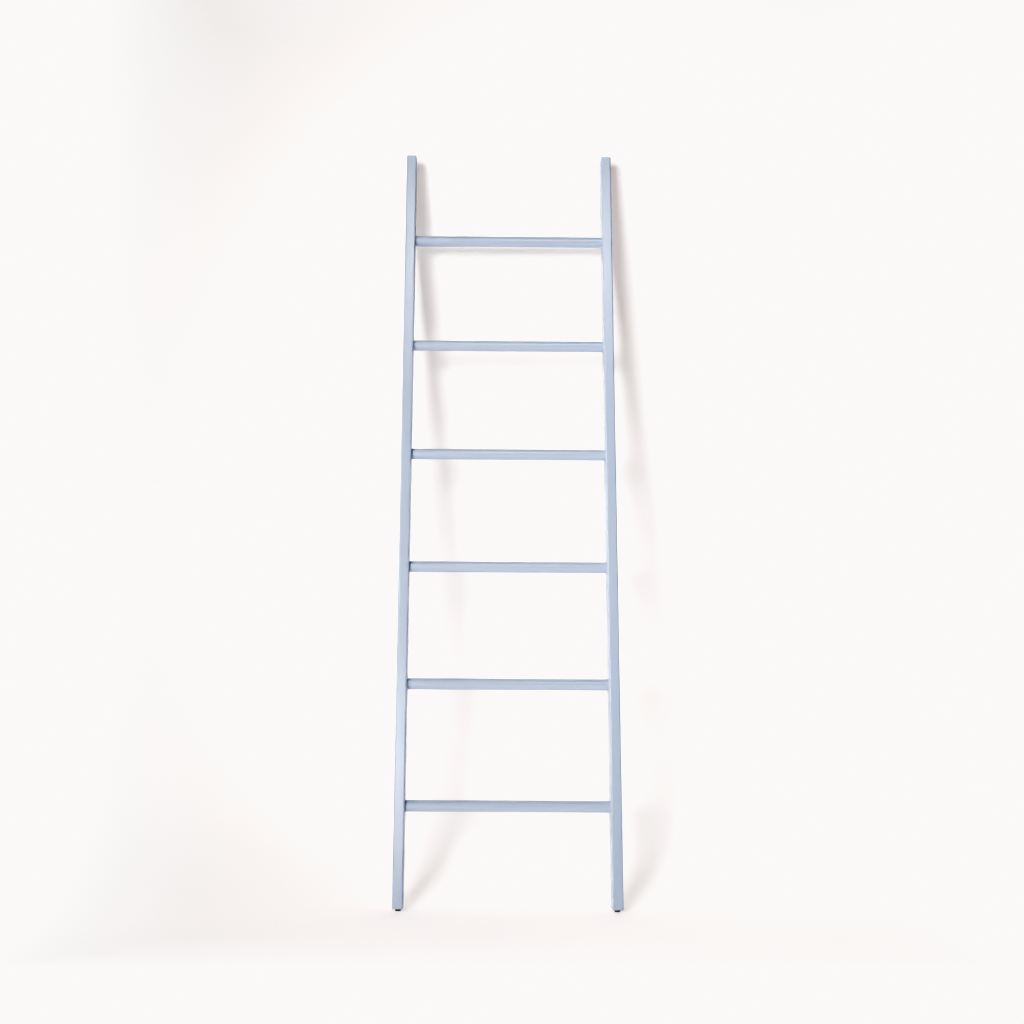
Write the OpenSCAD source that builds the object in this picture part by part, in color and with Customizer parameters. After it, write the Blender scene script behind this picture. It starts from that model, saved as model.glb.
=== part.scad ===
// Leaning blanket ladder: two rectangular wooden stiles, round rungs between them, rubber feet.
// +Z is up, -Y is the front, and the tops of the stiles lean back towards +Y.
// The origin is on the floor, under the middle of the ladder's bounding box.

/* [Ladder] */
// Length of each stile, along its own slope
ladder_len = 1800; // [1500:10:2100]
// Width over the outer faces of the two stiles
ladder_w = 510; // [380:5:640]
// How far the ladder leans back from upright, in degrees
lean = 12.5; // [5:0.5:20]

/* [Stiles] */
// Stile size across the ladder
stile_w = 24; // [22:1:30]
// Stile size from front to back
stile_d = 45; // [40:1:60]
// Radius of the long edges
stile_edge_r = 3; // [1:0.5:5]
// Bevel around the sawn ends
stile_end_bevel = 1; // [0.5:0.1:1.5]

/* [Rungs] */
// Rung diameter
rung_d = 26; // [22:0.5:30]
// Distance between rung centres, along the slope
rung_pitch = 272; // [200:1:320]
// Depth of the blind mortise that holds a rung end
mortise_depth = 12; // [10:0.5:13]
// Bevel on the rung ends
rung_end_bevel = 1; // [0.4:0.1:2]

/* [Rung fixings] */
// Diameter of the wooden plug over each screw
plug_d = 10; // [9.5:0.5:12]
// Thickness of that plug
plug_h = 4; // [3:0.5:4.5]
// Diameter of the screw head
screw_head_d = 9; // [8:0.1:9.3]
// Thickness of the screw head
screw_head_h = 3; // [2.5:0.1:3.2]
// Outer diameter of the screw thread
screw_d = 5; // [4:0.1:5.5]
// Screw length under its head
screw_len = 45; // [35:1:60]

/* [Feet] */
// Foot diameter where it meets the stile
foot_d = 15; // [14:0.5:20]
// Foot diameter where it meets the floor
foot_tip_d = 13.5; // [12:0.5:14]
// Foot height
foot_h = 5.5; // [5:0.5:9]
// Diameter of the recess for the foot screw
foot_recess_d = 8; // [7.6:0.1:9]
// Depth of that recess
foot_recess_h = 3.4; // [3:0.1:3.8]

/* [Hidden] */
RUNGS = 6;
SIDES = ["left", "right"];
$fn = 64;

rung_margin = (ladder_len - (RUNGS - 1) * rung_pitch) / 2;
inner_w = ladder_w - 2 * stile_w;
rung_len = inner_w + 2 * mortise_depth;
counterbore_h = plug_h + screw_head_h;
screw_tip_h = 5;
thread_depth = 0.7;
thread_step = 2;
thread_start = 16;
washer_d = foot_recess_d - 0.4;
washer_h = 0.8;
foot_screw_d = 3.2;
foot_screw_len = 18;
foot_head_d = 6.4;
foot_head_h = 1.9;
foot_head_z = -foot_h + foot_recess_h - washer_h;

// The foot's back rim is the lowest point once the ladder leans.
foot_drop = foot_h * cos(lean) + (stile_d + foot_tip_d) / 2 * sin(lean);
front_y = stile_end_bevel * sin(lean);
back_y = (ladder_len - stile_end_bevel) * sin(lean) + stile_d * cos(lean);

paint = [0.66, 0.74, 0.84];
steel = [0.72, 0.72, 0.70];
dark_rubber = [0.09, 0.09, 0.10];

function rung_z(n) = rung_margin + (n - 1) * rung_pitch;

// From the ladder's own frame, where Z runs up the stiles and Y = 0 is the front face, to the floor.
module leaning() {
    translate([0, -(front_y + back_y) / 2, foot_drop]) rotate([-lean, 0, 0]) children();
}

// Pieces are drawn for the left side; the right side is their mirror image.
module on_side(side) {
    if (side == "left") children();
    else mirror([1, 0, 0]) children();
}

// Puts a piece's +Z axis along +X, starting at the outer face of the left stile, level with rung n.
module at_joint(n, inset = 0) {
    translate([-ladder_w / 2 + inset, stile_d / 2, rung_z(n)]) rotate([0, 90, 0]) children();
}

// Puts a piece under the sawn bottom end of the left stile, at its centre.
module at_foot() {
    translate([-(ladder_w - stile_w) / 2, stile_d / 2, 0]) children();
}

module stile_section() {
    r = stile_edge_r;
    translate([r, 0]) square([stile_w - 2 * r, stile_d]);
    translate([0, r]) square([stile_w, stile_d - 2 * r]);
    for (x = [r, stile_w - r], y = [r, stile_d - r]) translate([x, y]) circle(r = r);
}

// A 45 degree cut along the four edges of one sawn end.
module end_bevel_cuts() {
    s = stile_end_bevel * sqrt(2);
    for (y = [0, stile_d])
        translate([stile_w / 2, y, 0]) rotate([45, 0, 0]) cube([stile_w + 2, s, s], center = true);
    for (x = [0, stile_w])
        translate([x, stile_d / 2, 0]) rotate([0, 45, 0]) cube([s, stile_d + 2, s], center = true);
}

module stile_blank() {
    translate([-ladder_w / 2, 0, 0]) difference() {
        linear_extrude(ladder_len) stile_section();
        end_bevel_cuts();
        translate([0, 0, ladder_len]) end_bevel_cuts();
    }
}

// Each joint is a counterbore from outside, a screw hole, and a blind mortise from inside.
module stile(side) {
    color(paint) leaning() on_side(side) difference() {
        stile_blank();
        for (n = [1 : RUNGS]) {
            at_joint(n, -1) cylinder(h = counterbore_h + 1, d = plug_d);
            at_joint(n) cylinder(h = stile_w, d = screw_d);
            at_joint(n, stile_w - mortise_depth) cylinder(h = mortise_depth + 1, d = rung_d);
        }
        at_foot() translate([0, 0, -1]) cylinder(h = foot_screw_len, d = foot_screw_d);
    }
}

// A plain dowel with bevelled ends and a screw hole in each end.
module rung(n) {
    r = rung_d / 2;
    b = rung_end_bevel;
    hole = counterbore_h + screw_len - (stile_w - mortise_depth) + 1;
    color(paint) leaning() difference() {
        at_joint(n, stile_w - mortise_depth) rotate_extrude()
            polygon([[0, 0], [r - b, 0], [r, b], [r, rung_len - b], [r - b, rung_len], [0, rung_len]]);
        for (side = SIDES) on_side(side)
            at_joint(n, stile_w - mortise_depth - 1) cylinder(h = hole + 1, d = screw_d);
    }
}

// Half outline of a wood screw: pan head, plain shank, ringed thread and a point.
function screw_outline(d, len, head_d, head_h, plain) = concat(
    [[0, -head_h], [head_d / 2 - 0.8, -head_h], [head_d / 2, -head_h + 0.8], [head_d / 2, 0], [d / 2, 0]],
    [for (z = [plain : thread_step : len - screw_tip_h - thread_step])
        each [[d / 2, z], [d / 2 - thread_depth, z + thread_step * 0.6]]],
    [[d / 2, len - screw_tip_h], [0, len]]
);

module wood_screw(d, len, head_d, head_h, plain) {
    slot = head_d * 0.5;
    slot_w = head_d * 0.14;
    slot_h = head_h * 0.6;
    difference() {
        rotate_extrude() polygon(screw_outline(d, len, head_d, head_h, plain));
        for (turn = [0, 90])
            rotate([0, 0, turn]) translate([-slot / 2, -slot_w / 2, -head_h - 1])
                cube([slot, slot_w, slot_h + 1]);
    }
}

module rung_screw(side, n) {
    color(steel) leaning() on_side(side)
        at_joint(n, counterbore_h) wood_screw(screw_d, screw_len, screw_head_d, screw_head_h, thread_start);
}

// A cross-cut wooden plug, sanded flush with the outer face and painted over.
module screw_plug(side, n) {
    color(paint) leaning() on_side(side) at_joint(n) cylinder(h = plug_h, d = plug_d);
}

// A tapered rubber foot, hollow underneath so that its screw head never meets the floor.
module foot(side) {
    rt = foot_d / 2;
    rb = foot_tip_d / 2;
    rr = foot_recess_d / 2;
    rh = foot_screw_d / 2;
    color(dark_rubber) leaning() on_side(side) at_foot() rotate_extrude()
        polygon([
            [rh, 0], [rt - 0.5, 0], [rt, -0.5], [rb, -foot_h + 0.8], [rb - 0.8, -foot_h],
            [rr, -foot_h], [rr, -foot_h + foot_recess_h], [rh, -foot_h + foot_recess_h]
        ]);
}

module foot_washer(side) {
    color(steel) leaning() on_side(side) at_foot() translate([0, 0, foot_head_z]) difference() {
        cylinder(h = washer_h, d = washer_d);
        translate([0, 0, -1]) cylinder(h = washer_h + 2, d = foot_screw_d);
    }
}

module foot_screw(side) {
    len = foot_screw_len - 2 - foot_head_z;
    color(steel) leaning() on_side(side) at_foot() translate([0, 0, foot_head_z])
        wood_screw(foot_screw_d, len, foot_head_d, foot_head_h, 6);
}

for (side = SIDES) {
    stile(side);
    foot(side);
    foot_washer(side);
    foot_screw(side);
}
for (n = [1 : RUNGS]) rung(n);
for (side = SIDES, n = [1 : RUNGS]) {
    rung_screw(side, n);
    screw_plug(side, n);
}
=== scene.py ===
import math

import bmesh
import bpy
from mathutils import Matrix, Vector


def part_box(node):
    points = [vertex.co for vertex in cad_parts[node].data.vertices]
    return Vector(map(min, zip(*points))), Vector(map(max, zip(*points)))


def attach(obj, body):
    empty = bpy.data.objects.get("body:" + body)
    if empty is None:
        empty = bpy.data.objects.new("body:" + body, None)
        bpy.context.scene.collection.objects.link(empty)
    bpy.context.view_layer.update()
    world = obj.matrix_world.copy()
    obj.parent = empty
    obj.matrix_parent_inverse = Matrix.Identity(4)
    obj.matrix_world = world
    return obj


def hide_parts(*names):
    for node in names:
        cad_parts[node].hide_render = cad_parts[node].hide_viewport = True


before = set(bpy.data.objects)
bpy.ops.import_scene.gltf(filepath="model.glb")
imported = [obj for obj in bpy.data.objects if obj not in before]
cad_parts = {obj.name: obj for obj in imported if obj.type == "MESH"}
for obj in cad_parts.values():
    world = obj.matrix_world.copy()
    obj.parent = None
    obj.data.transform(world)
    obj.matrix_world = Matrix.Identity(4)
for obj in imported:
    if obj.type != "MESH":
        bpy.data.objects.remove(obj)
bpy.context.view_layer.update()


# ---------------------------------------------------------------- camera
# A camera on a stand, a little under a metre high and two and a half metres in front of the ladder.
# It is turned and tipped by about a degree, and sees the whole ladder with room around it.
CAMERA_SPOT = (-0.075, -2.723, 0.938)
CAMERA_TURN = -0.29
CAMERA_TIP = -1.22
CAMERA_ROLL = 0.39
camera_data = bpy.data.cameras.new("studio_camera")
camera_data.sensor_width = 36
camera_data.lens = 40.43
camera_data.shift_x = 0.029
camera_data.shift_y = 0.0005
camera = bpy.data.objects.new("studio_camera", camera_data)
bpy.context.scene.collection.objects.link(camera)
bpy.context.scene.camera = camera
camera.matrix_world = (
    Matrix.Translation(CAMERA_SPOT)
    @ Matrix.Rotation(math.radians(CAMERA_TURN), 4, "Z")
    @ Matrix.Rotation(math.radians(90 + CAMERA_TIP), 4, "X")
    @ Matrix.Rotation(math.radians(CAMERA_ROLL), 4, "Z")
)


# ---------------------------------------------------------------- stiles
# The two side rails are planed softwood boards, 24 by 45 mm and 1.8 m long, sawn square at both ends.
# Their long edges are rounded over, and each rung end sits in a blind round mortise in the inner face,
# with a counterbored screw hole behind it. Everything is painted pale grey-blue in a satin finish.
RUNGS = range(1, 7)
SIDES = {"left": -1, "right": 1}
STILE_LENGTH = 1.8
STILE_WIDTH = 0.024
STILE_DEPTH = 0.045
STILE_EDGE_RADIUS = 0.003
STILE_END_BEVEL = 0.001
LOWEST_RUNG = 0.22
RUNG_RADIUS = 0.013
MORTISE_DEPTH = 0.012
COUNTERBORE_RADIUS = 0.005
COUNTERBORE_DEPTH = 0.007
SCREW_HOLE_RADIUS = 0.0025


def middle(node):
    low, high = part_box(node)
    return (low + high) / 2


slope = (middle("rung_6") - middle("rung_1")).normalized()
lean = math.atan2(slope.y, slope.z)
foot_of_ladder = middle("rung_1") - slope * LOWEST_RUNG
rung_pitch = (middle("rung_2") - middle("rung_1")).length
stile_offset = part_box("right_stile")[1].x - STILE_WIDTH / 2


def clear_selection():
    if bpy.context.object and bpy.context.object.mode != "OBJECT":
        bpy.ops.object.mode_set(mode="OBJECT")
    bpy.ops.object.select_all(action="DESELECT")


def start_piece(name):
    """Names the primitive that was just added, and opens it for shaping."""
    piece = bpy.context.object
    piece.name = name
    piece.data.name = name
    bpy.ops.object.mode_set(mode="EDIT")
    return piece


def choose(piece, kind, test):
    """Selects the vertices, edges or faces whose middle point passes the test, and nothing else."""
    bpy.ops.mesh.select_mode(type=kind)
    bpy.ops.mesh.select_all(action="DESELECT")
    mesh = bmesh.from_edit_mesh(piece.data)
    parts = {"VERT": mesh.verts, "EDGE": mesh.edges, "FACE": mesh.faces}[kind]
    for part in parts:
        corners = [part] if kind == "VERT" else part.verts
        centre = sum((v.co for v in corners), Vector()) / len(corners)
        if test(part, centre):
            part.select_set(True)
    bmesh.update_edit_mesh(piece.data)


def place(piece, location):
    """Leans a finished piece back with the ladder and moves it into place, with its object at the origin."""
    clear_selection()
    piece.select_set(True)
    bpy.context.view_layer.objects.active = piece
    piece.rotation_euler = (-lean, 0, 0)
    piece.location = location
    bpy.ops.object.transform_apply(location=True, rotation=True, scale=True)


def smooth(piece, angle=32):
    """Smooth shading on rounded faces, with flat faces kept flat."""
    clear_selection()
    piece.select_set(True)
    bpy.context.view_layer.objects.active = piece
    bpy.ops.object.shade_smooth_by_angle(angle=math.radians(angle))
    weighted = piece.modifiers.new("flat_faces_first", "WEIGHTED_NORMAL")
    weighted.keep_sharp = True
    weighted.weight = 80
    bpy.ops.object.modifier_apply(modifier=weighted.name)


def turned(name, profile, axis, steps, closed=False):
    """A turned piece: a profile of (distance along the axis, radius) points spun once round the axis."""
    along = Vector(axis)
    out = Vector((0, 0, 1)) if abs(along.z) < 0.5 else Vector((1, 0, 0))
    points = [along * distance + out * radius for distance, radius in profile]
    clear_selection()
    bpy.ops.mesh.primitive_plane_add(size=0.001, location=(0, 0, 0))
    piece = start_piece(name)
    bpy.ops.mesh.select_all(action="SELECT")
    bpy.ops.mesh.merge(type="CENTER")
    bpy.ops.mesh.select_mode(type="VERT")
    bpy.ops.mesh.select_all(action="SELECT")
    bpy.ops.transform.translate(value=points[0])
    for before, after in zip(points, points[1:] + points[:1] * closed):
        bpy.ops.mesh.extrude_vertices_move(TRANSFORM_OT_translate={"value": after - before})
    bpy.ops.mesh.select_all(action="SELECT")
    bpy.ops.mesh.remove_doubles(threshold=1e-7)
    bpy.ops.mesh.select_all(action="SELECT")
    bpy.ops.mesh.spin(steps=steps, angle=math.tau, center=(0, 0, 0), axis=along)
    bpy.ops.mesh.select_all(action="SELECT")
    bpy.ops.mesh.remove_doubles(threshold=1e-6)
    bpy.ops.mesh.normals_make_consistent(inside=False)
    bpy.ops.object.mode_set(mode="OBJECT")
    return piece


class Value:
    """A number or colour at one socket of a material. Arithmetic on these adds Math nodes."""

    def __init__(self, tree, socket):
        self.tree, self.socket = tree, socket

    def node(self, kind, settings, sockets, output=0):
        made = self.tree.nodes.new("ShaderNode" + kind)
        for setting, value in settings.items():
            setattr(made, setting, value)
        for name, value in sockets.items():
            if isinstance(value, Value):
                self.tree.links.new(value.socket, made.inputs[name])
            else:
                made.inputs[name].default_value = value
        return Value(self.tree, made.outputs[output])

    def maths(self, operation, first, second=0.0):
        return self.node("Math", {"operation": operation}, {0: first, 1: second})

    def __add__(self, other):
        return self.maths("ADD", self, other)

    def __radd__(self, other):
        return self.maths("ADD", other, self)

    def __sub__(self, other):
        return self.maths("SUBTRACT", self, other)

    def __rsub__(self, other):
        return self.maths("SUBTRACT", other, self)

    def __mul__(self, other):
        return self.maths("MULTIPLY", self, other)

    def __rmul__(self, other):
        return self.maths("MULTIPLY", other, self)

    def __truediv__(self, other):
        return self.maths("DIVIDE", self, other)

    def __rtruediv__(self, other):
        return self.maths("DIVIDE", other, self)

    def __abs__(self):
        return self.maths("ABSOLUTE", self)

    def ramp(self, low, high):
        """0 below low, 1 above high, with an eased change between."""
        return self.node(
            "MapRange", {"interpolation_type": "SMOOTHSTEP"},
            {"Value": self, "From Min": low, "From Max": high},
        )

    def noise(self, stretch, detail, roughness=0.5):
        """Cloudy noise on these coordinates, with that many spots a metre along each axis."""
        stretched = self.node("VectorMath", {"operation": "MULTIPLY"}, {0: self, 1: stretch})
        return self.node(
            "TexNoise", {}, {"Vector": stretched, "Scale": 1.0, "Detail": detail, "Roughness": roughness}
        )

    def mix(self, low_colour, high_colour):
        return self.node(
            "Mix", {"data_type": "RGBA"}, {"Factor": self, 6: low_colour, 7: high_colour}, output=2
        )

    def bump(self, strength, height):
        """A bump map with that many metres between its lowest and highest point."""
        return self.node("Bump", {}, {"Height": self, "Strength": strength, "Distance": height})


def new_material(name):
    """An empty principled material: its shader node, and its Object coordinates as a Value."""
    material = bpy.data.materials.new(name)
    material.use_nodes = True
    tree = material.node_tree
    shader = tree.nodes["Principled BSDF"]
    place_in_model = tree.nodes.new("ShaderNodeTexCoord")
    return material, shader, Value(tree, place_in_model.outputs["Object"])


def feed(shader, **values):
    for name, value in values.items():
        socket = shader.inputs[name.replace("_", " ")]
        if isinstance(value, Value):
            value.tree.links.new(value.socket, socket)
        else:
            socket.default_value = value


PAINT = (0.433, 0.495, 0.607, 1.0)
PAINT_THICK = (0.412, 0.477, 0.592, 1.0)
PAINT_THIN = (0.475, 0.536, 0.645, 1.0)
PAINT_GLOSS = 0.25
GRAIN_ALONG, GRAIN_ACROSS = 5.0, 170.0
BRUSH_ALONG, BRUSH_ACROSS = 14.0, 900.0
PEEL_SPOTS, CLOUD_SPOTS = 620.0, 9.0


def painted_wood(name, grain_axis, arris=None):
    """Satin paint over sanded wood: faint grain and brush lines along the wood, fine orange peel."""
    material, shader, coordinates = new_material(name)
    level = coordinates.node("Mapping", {}, {"Vector": coordinates, "Rotation": (lean, 0, 0)})
    grain = level.noise([GRAIN_ALONG if axis == grain_axis else GRAIN_ACROSS for axis in "xyz"], 3.0, 0.6)
    brush = level.noise([BRUSH_ALONG if axis == grain_axis else BRUSH_ACROSS for axis in "xyz"], 2.0)
    peel = level.noise([PEEL_SPOTS] * 3, 1.0)
    cloud = level.noise([CLOUD_SPOTS] * 3, 2.0)
    tone = 0.25 + (cloud - 0.5) * 1.1 + (grain - 0.5) * 0.7
    colour = tone.ramp(-0.2, 1.2).mix(PAINT, PAINT_THICK)
    gloss = PAINT_GLOSS + (cloud - 0.5) * 0.10 + (peel - 0.5) * 0.05
    if arris:
        edge = arris(level)
        colour = (edge * (0.35 + grain * 0.5)).mix(colour, PAINT_THIN)
        gloss = gloss + edge * 0.03
    relief = grain * 0.55 + brush * 0.2 + peel * 0.25
    feed(
        shader, Base_Color=colour, Roughness=gloss, Normal=relief.bump(0.35, 0.0002),
        IOR=1.5, Coat_Roughness=0.2,
    )
    return material


level_centre = foot_of_ladder.y * math.cos(lean) - foot_of_ladder.z * math.sin(lean)


def stile_arris(level):
    """1 on the rounded long edges of the stiles, where the paint is thin and paler, and 0 elsewhere."""
    split = level.node("SeparateXYZ", {}, {"Vector": level})
    x, y = Value(split.tree, split.socket.node.outputs[0]), Value(split.tree, split.socket.node.outputs[1])
    beside = abs(abs(x) - stile_offset) - (STILE_WIDTH / 2 - STILE_EDGE_RADIUS)
    fore = abs(y - level_centre) - (STILE_DEPTH / 2 - STILE_EDGE_RADIUS)
    return (beside + fore).ramp(0.0030, 0.0042)


stile_paint = painted_wood("stile_paint", "z", stile_arris)

for side, sign in SIDES.items():
    clear_selection()
    bpy.ops.mesh.primitive_cube_add(size=1, location=(0, 0, 0))
    stile = start_piece(f"painted_{side}_stile")
    bpy.ops.mesh.select_all(action="SELECT")
    bpy.ops.transform.resize(value=(STILE_WIDTH, STILE_DEPTH, STILE_LENGTH), center_override=(0, 0, 0))
    bpy.ops.transform.translate(value=(0, 0, STILE_LENGTH / 2))
    choose(stile, "EDGE", lambda edge, centre: abs(edge.verts[0].co.z - edge.verts[1].co.z) > 1)
    bpy.ops.mesh.bevel(offset=STILE_EDGE_RADIUS, segments=8, profile=0.5, affect="EDGES")
    choose(
        stile, "EDGE",
        lambda edge, centre: all(min(v.co.z, STILE_LENGTH - v.co.z) < 1e-5 for v in edge.verts),
    )
    bpy.ops.mesh.bevel(offset=STILE_END_BEVEL, segments=3, profile=0.5, affect="EDGES")
    bpy.ops.object.mode_set(mode="OBJECT")
    outer, inner = -STILE_WIDTH / 2, STILE_WIDTH / 2
    cutters = []
    for n in RUNGS:
        cutter = turned(
            f"joint_cutter_{n}",
            [
                (outer - 0.0005, 0),
                (outer - 0.0005, COUNTERBORE_RADIUS + 0.0006),
                (outer + 0.0002, COUNTERBORE_RADIUS),
                (outer + COUNTERBORE_DEPTH, COUNTERBORE_RADIUS),
                (outer + COUNTERBORE_DEPTH, SCREW_HOLE_RADIUS),
                (inner - MORTISE_DEPTH, SCREW_HOLE_RADIUS),
                (inner - MORTISE_DEPTH, RUNG_RADIUS),
                (inner - 0.0002, RUNG_RADIUS),
                (inner + 0.0005, RUNG_RADIUS + 0.0005),
                (inner + 0.0005, 0),
            ],
            (-sign, 0, 0),
            64,
        )
        cutter.location = (0, 0, LOWEST_RUNG + (n - 1) * rung_pitch)
        cutters.append(cutter)
    clear_selection()
    for cutter in cutters:
        cutter.select_set(True)
    bpy.context.view_layer.objects.active = cutters[0]
    bpy.ops.object.join()
    joints = bpy.context.object
    bpy.ops.object.transform_apply(location=True, rotation=True, scale=True)
    clear_selection()
    stile.select_set(True)
    bpy.context.view_layer.objects.active = stile
    cut = stile.modifiers.new("mortises", "BOOLEAN")
    cut.operation = "DIFFERENCE"
    cut.solver = "EXACT"
    cut.object = joints
    bpy.ops.object.modifier_apply(modifier=cut.name)
    bpy.data.objects.remove(joints)
    smooth(stile)
    stile.data.materials.clear()
    stile.data.materials.append(stile_paint)
    place(stile, foot_of_ladder + Vector((sign * stile_offset, 0, 0)))
    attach(stile, "root")
    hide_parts(f"{side}_stile")


# ---------------------------------------------------------------- rungs
# Six turned wooden dowels, 26 mm across, with bevelled ends glued 12 mm deep into the stiles.
# Paint has drawn up into a thin bead where each rung meets the inner face of a stile.
RUNG_END_BEVEL = 0.001
PAINT_BEAD = 0.0006
rung_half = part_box("rung_1")[1].x
inner_face = rung_half - MORTISE_DEPTH
rung_paint = painted_wood("rung_paint", "x")

half_rung = [
    (rung_half, 0),
    (rung_half, RUNG_RADIUS - RUNG_END_BEVEL),
    (rung_half - RUNG_END_BEVEL, RUNG_RADIUS - 0.0001),
    (inner_face + 0.0002, RUNG_RADIUS - 0.0001),
    (inner_face + 0.0002, RUNG_RADIUS + PAINT_BEAD),
    (inner_face - 0.0002, RUNG_RADIUS + PAINT_BEAD * 0.55),
    (inner_face - 0.0006, RUNG_RADIUS + PAINT_BEAD * 0.2),
    (inner_face - 0.0012, RUNG_RADIUS),
    (inner_face * 0.5, RUNG_RADIUS),
]
whole_rung = half_rung + [(0, RUNG_RADIUS)] + [(-along, out) for along, out in reversed(half_rung)]
rung_blank = turned("rung_blank", whole_rung, (1, 0, 0), 96)
smooth(rung_blank)
rung_blank.data.materials.clear()
rung_blank.data.materials.append(rung_paint)
for n in RUNGS:
    rung = rung_blank.copy()
    rung.data = rung_blank.data.copy()
    rung.name = rung.data.name = f"painted_rung_{n}"
    bpy.context.scene.collection.objects.link(rung)
    place(rung, middle(f"rung_{n}"))
    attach(rung, "root")
    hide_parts(f"rung_{n}")
bpy.data.objects.remove(rung_blank)


# ---------------------------------------------------------------- screw plugs
# Cross-cut wooden plugs, 10 mm across, glued over the rung screws and sanded almost flush before painting.
# They stay visible as faint rings on the outer faces of the stiles.
PLUG_RADIUS = 0.005
PLUG_THICKNESS = 0.004
plug_profile = [
    (0.00006, 0),
    (0.00005, PLUG_RADIUS * 0.5),
    (0.00002, PLUG_RADIUS * 0.86),
    (-0.00012, PLUG_RADIUS * 0.965),
    (-0.0004, PLUG_RADIUS),
    (-PLUG_THICKNESS + 0.0003, PLUG_RADIUS),
    (-PLUG_THICKNESS, PLUG_RADIUS - 0.0003),
    (-PLUG_THICKNESS, 0),
]
for side, sign in SIDES.items():
    for n in RUNGS:
        plug = turned(f"painted_{side}_plug_{n}", plug_profile, (sign, 0, 0), 48)
        smooth(plug)
        plug.data.materials.clear()
        plug.data.materials.append(rung_paint)
        outer_face = Vector((sign * (stile_offset + STILE_WIDTH / 2), 0, 0))
        place(plug, foot_of_ladder + slope * (LOWEST_RUNG + (n - 1) * rung_pitch) + outer_face)
        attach(plug, "root")
        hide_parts(f"{side}_screw_plug_{n}")


# ---------------------------------------------------------------- feet
# Moulded black rubber feet, 15 mm across and 5.5 mm high, one under the middle of each stile.
# Each is tapered and rounded, with a recess underneath for its washer and screw.
FOOT_TOP_RADIUS = 0.0075
FOOT_TIP_RADIUS = 0.00675
FOOT_HEIGHT = 0.0055
FOOT_HOLE_RADIUS = 0.0016
RECESS_RADIUS = 0.004
RECESS_DEPTH = 0.0034
foot_profile = [
    (0, FOOT_HOLE_RADIUS),
    (0, FOOT_TOP_RADIUS - 0.0006),
    (-0.0002, FOOT_TOP_RADIUS - 0.0002),
    (-0.0006, FOOT_TOP_RADIUS),
    (-0.0016, FOOT_TOP_RADIUS - 0.0001),
    (-FOOT_HEIGHT + 0.0009, FOOT_TIP_RADIUS),
    (-FOOT_HEIGHT + 0.0004, FOOT_TIP_RADIUS - 0.0002),
    (-FOOT_HEIGHT + 0.0001, FOOT_TIP_RADIUS - 0.0006),
    (-FOOT_HEIGHT, FOOT_TIP_RADIUS - 0.0010),
    (-FOOT_HEIGHT, RECESS_RADIUS + 0.0004),
    (-FOOT_HEIGHT + 0.0003, RECESS_RADIUS),
    (-FOOT_HEIGHT + RECESS_DEPTH, RECESS_RADIUS),
    (-FOOT_HEIGHT + RECESS_DEPTH, FOOT_HOLE_RADIUS),
]
BLACK_RUBBER = (0.014, 0.014, 0.016, 1.0)
SCUFFED_RUBBER = (0.045, 0.044, 0.043, 1.0)
rubber, rubber_shader, coordinates = new_material("foot_rubber")
SCUFF_SPOTS, PORE_SPOTS = 420.0, 2600.0
scuff = coordinates.noise([SCUFF_SPOTS] * 3, 3.0, 0.6)
pores = coordinates.noise([PORE_SPOTS] * 3, 2.0)
feed(
    rubber_shader,
    Base_Color=scuff.ramp(0.52, 0.75).mix(BLACK_RUBBER, SCUFFED_RUBBER),
    Roughness=0.52 + scuff * 0.25,
    Normal=(scuff * 0.4 + pores * 0.6).bump(0.5, 0.00012),
)
for side, sign in SIDES.items():
    foot = turned(f"rubber_{side}_foot", foot_profile, (0, 0, 1), 64, closed=True)
    smooth(foot, 40)
    foot.data.materials.clear()
    foot.data.materials.append(rubber)
    place(foot, foot_of_ladder + Vector((sign * stile_offset, 0, 0)))
    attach(foot, "root")
    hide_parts(f"{side}_foot")


# ---------------------------------------------------------------- screws and washers
# Zinc-plated steel wood screws: twelve through the stiles into the rung ends, under the plugs, and one
# in each foot with a flat washer. They keep their modelled shape and get a plated steel finish.
DULL_ZINC = (0.50, 0.50, 0.47, 1.0)
BRIGHT_ZINC = (0.62, 0.62, 0.60, 1.0)
steel, steel_shader, coordinates = new_material("plated_steel")
plating = coordinates.noise([300.0] * 3, 3.0)
scratches = coordinates.noise([4000.0, 4000.0, 350.0], 2.0)
feed(
    steel_shader,
    Metallic=1.0,
    Base_Color=plating.mix(DULL_ZINC, BRIGHT_ZINC),
    Roughness=0.26 + plating * 0.16 + scratches * 0.06,
    Normal=(plating * 0.3 + scratches * 0.7).bump(0.25, 0.00004),
)
for name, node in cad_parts.items():
    if "screw_plug" not in name and ("screw" in name or "washer" in name):
        node.data.materials.clear()
        node.data.materials.append(steel)


# ---------------------------------------------------------------- floor and backdrop
# A matt white studio sweep: a short floor that curves up behind the feet into a wall, which the tops of
# the stiles lean on. It is open from behind. A pale surround, which only the camera sees, is beyond it.
SWEEP_HALF_WIDTH = 1.7
SURROUND_RADIUS = 30
PAPER = (0.86, 0.86, 0.86, 1.0)
PAPER_GLOW = (1.02, 1.02, 1.02, 1.0)
# Painted light: the paper glows in a warm tint, a little more on the floor than on the wall. The glow stands
# in for room light, so the shadows on the paper stay pale and warm.
FLOOR_GLOW = (0.40, 0.355, 0.335, 1.0)
WALL_GLOW = (0.37, 0.32, 0.30, 1.0)
floor_line = foot_of_ladder.y - STILE_DEPTH / 2 * math.cos(lean)
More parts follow.
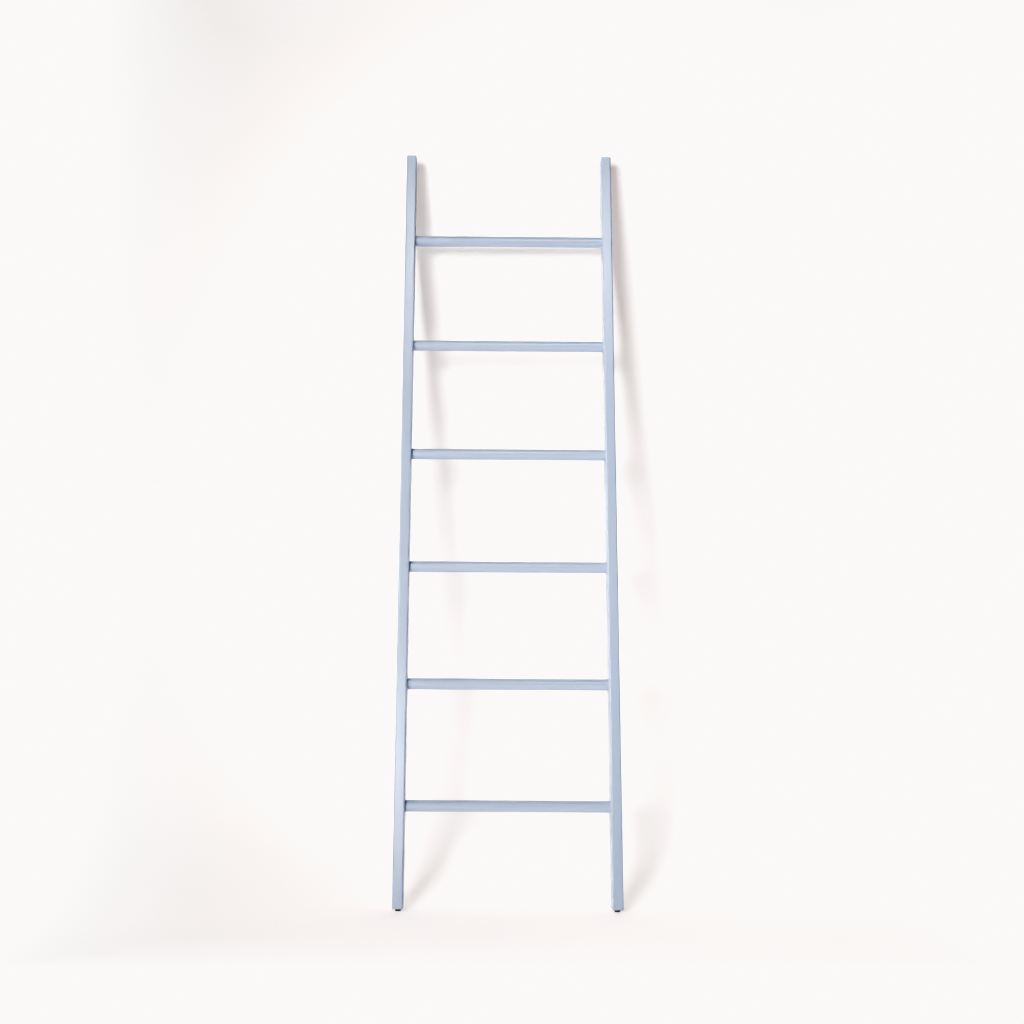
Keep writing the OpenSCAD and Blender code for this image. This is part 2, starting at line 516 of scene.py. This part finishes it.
# Each point is (distance behind the front edge of the feet, height).
sweep_profile = [
    (-0.34, 0.0), (-0.20, 0.0), (-0.05, 0.0), (0.045, 0.001), (0.10, 0.012), (0.16, 0.036),
    (0.21, 0.070), (0.255, 0.120), (0.295, 0.190), (0.330, 0.285), (0.355, 0.400), (0.372, 0.540),
    (0.387, 0.750), (0.402, 1.05), (0.418, 1.40), (0.4345, 1.757), (0.452, 2.15), (0.475, 2.70),
]
clear_selection()
bpy.ops.mesh.primitive_plane_add(size=0.01, location=(0, 0, 0))
sweep = start_piece("studio_sweep")
bpy.ops.mesh.merge(type="CENTER")
bpy.ops.mesh.select_mode(type="VERT")
bpy.ops.mesh.select_all(action="SELECT")
sweep_points = [Vector((-SWEEP_HALF_WIDTH, floor_line + depth, height)) for depth, height in sweep_profile]
bpy.ops.transform.translate(value=sweep_points[0])
for before, after in zip(sweep_points, sweep_points[1:]):
    bpy.ops.mesh.extrude_vertices_move(TRANSFORM_OT_translate={"value": after - before})
bpy.ops.mesh.select_all(action="SELECT")
bpy.ops.mesh.extrude_edges_move(TRANSFORM_OT_translate={"value": (2 * SWEEP_HALF_WIDTH, 0, 0)})
bpy.ops.mesh.select_all(action="SELECT")
bpy.ops.mesh.normals_make_consistent(inside=False)
bpy.ops.object.mode_set(mode="OBJECT")
if sweep.data.polygons[0].normal.z < 0:
    sweep.data.flip_normals()
rounding = sweep.modifiers.new("rounding", "SUBSURF")
rounding.levels = rounding.render_levels = 4
rounding.boundary_smooth = "PRESERVE_CORNERS"
bpy.ops.object.modifier_apply(modifier=rounding.name)
bpy.ops.object.shade_smooth()

sweep_paper, paper_shader, coordinates = new_material("sweep_paper")
split = coordinates.node("SeparateXYZ", {}, {"Vector": coordinates})
paper_x, paper_y, paper_z = (Value(split.tree, split.socket.node.outputs[i]) for i in range(3))
# The emission is painted light: a warm glow, stronger on the floor than on the wall, that lifts and warms
# the shadows on the paper.
feed(
    paper_shader,
    Base_Color=PAPER,
    Roughness=0.9,
    Emission_Color=paper_z.ramp(0.0, 0.6).mix(FLOOR_GLOW, WALL_GLOW),
    Emission_Strength=1.0,
)
tree = sweep_paper.node_tree
glow = coordinates.node("Emission", {}, {"Color": PAPER_GLOW, "Strength": 1.0})
clear = coordinates.node("BsdfTransparent", {}, {})
behind = coordinates.node("NewGeometry", {}, {}, output=6)
far = coordinates.maths("MAXIMUM", abs(paper_x).ramp(0.6, 1.1), paper_z.ramp(2.0, 2.5))
far = far.maths("MAXIMUM", far, 1 - paper_y.ramp(floor_line - 0.32, floor_line - 0.10))
front = coordinates.node("MixShader", {}, {0: far, 1: Value(tree, paper_shader.outputs[0]), 2: glow})
whole = coordinates.node("MixShader", {}, {0: behind, 1: front, 2: clear})
tree.links.new(whole.socket, tree.nodes["Material Output"].inputs["Surface"])
sweep.data.materials.append(sweep_paper)

clear_selection()
bpy.ops.mesh.primitive_uv_sphere_add(segments=32, ring_count=16, radius=SURROUND_RADIUS, location=(0, 0, 0))
surround = bpy.context.object
surround.name = "pale_surround"
surround_paint, surround_shader, coordinates = new_material("surround_paint")
tree = surround_paint.node_tree
glow = coordinates.node("Emission", {}, {"Color": PAPER_GLOW, "Strength": 1.0})
tree.links.new(glow.socket, tree.nodes["Material Output"].inputs["Surface"])
surround.data.materials.append(surround_paint)
for way in ("diffuse", "glossy", "transmission", "volume_scatter", "shadow"):
    setattr(surround, f"visible_{way}", False)


# ---------------------------------------------------------------- lights
# A large softbox stands to the left of the camera, turned a little past the ladder. A narrow one low
# beside the camera and a wide one high in front only add sheen. Pale floor throws light up at the rungs.
# The rest of the room is nearly dark.


def softbox(name, width, height, watts, location, target, spread=180):
    """A rectangular light that the camera can't see, aimed at a point. Its beam is spread degrees wide."""
    light = bpy.data.lights.new(name, "AREA")
    light.shape = "RECTANGLE"
    light.size = width
    light.size_y = height
    light.energy = watts
    light.spread = math.radians(spread)
    lamp = bpy.data.objects.new(name, light)
    bpy.context.scene.collection.objects.link(lamp)
    lamp.location = location
    lamp.rotation_euler = (Vector(target) - Vector(location)).to_track_quat("-Z", "Y").to_euler()
    lamp.visible_camera = False
    return lamp


softbox("key_softbox", 1.8, 1.9, 32.5, (-1.82, -3.5, 2.05), (0.9, 0, 1.1), 64)
low_sheen = softbox("low_softbox", 0.3, 0.75, 19, (-0.62, -2.6, 0.78), (-0.24, 0, 0.4))
low_sheen.visible_diffuse = False
high_sheen = softbox("high_softbox", 1.0, 0.7, 22, (0.05, -1.75, 2.85), (0, 0, 1.4))
high_sheen.visible_diffuse = False
softbox("floor_bounce", 3.0, 1.6, 20, (0, -1.4, 0), (0, -1.4, 2))

DARK_ROOM = (0.006, 0.006, 0.007, 1.0)
world = bpy.data.worlds.new("dim_room")
world.use_nodes = True
world.node_tree.nodes["Background"].inputs["Color"].default_value = DARK_ROOM
bpy.context.scene.world = world

# The film deepens the shadows a little and holds the paper just under full white.
FILM_WHITE = (0.957, 0.945, 0.940)
FILM_CURVE = ((0.16, 0.06), (0.36, 0.31), (0.5, 0.5), (0.86, 0.86))
view = bpy.context.scene.view_settings
view.view_transform = "Standard"
view.use_curve_mapping = True
shoulder = view.curve_mapping
shoulder.extend = "HORIZONTAL"
for channel, white in enumerate(FILM_WHITE):
    curve = shoulder.curves[channel]
    curve.points[-1].location = (1.0, white)
    for light_in, light_out in FILM_CURVE:
        curve.points.new(light_in, light_out)
    for point in curve.points:
        point.handle_type = "VECTOR"
shoulder.update()
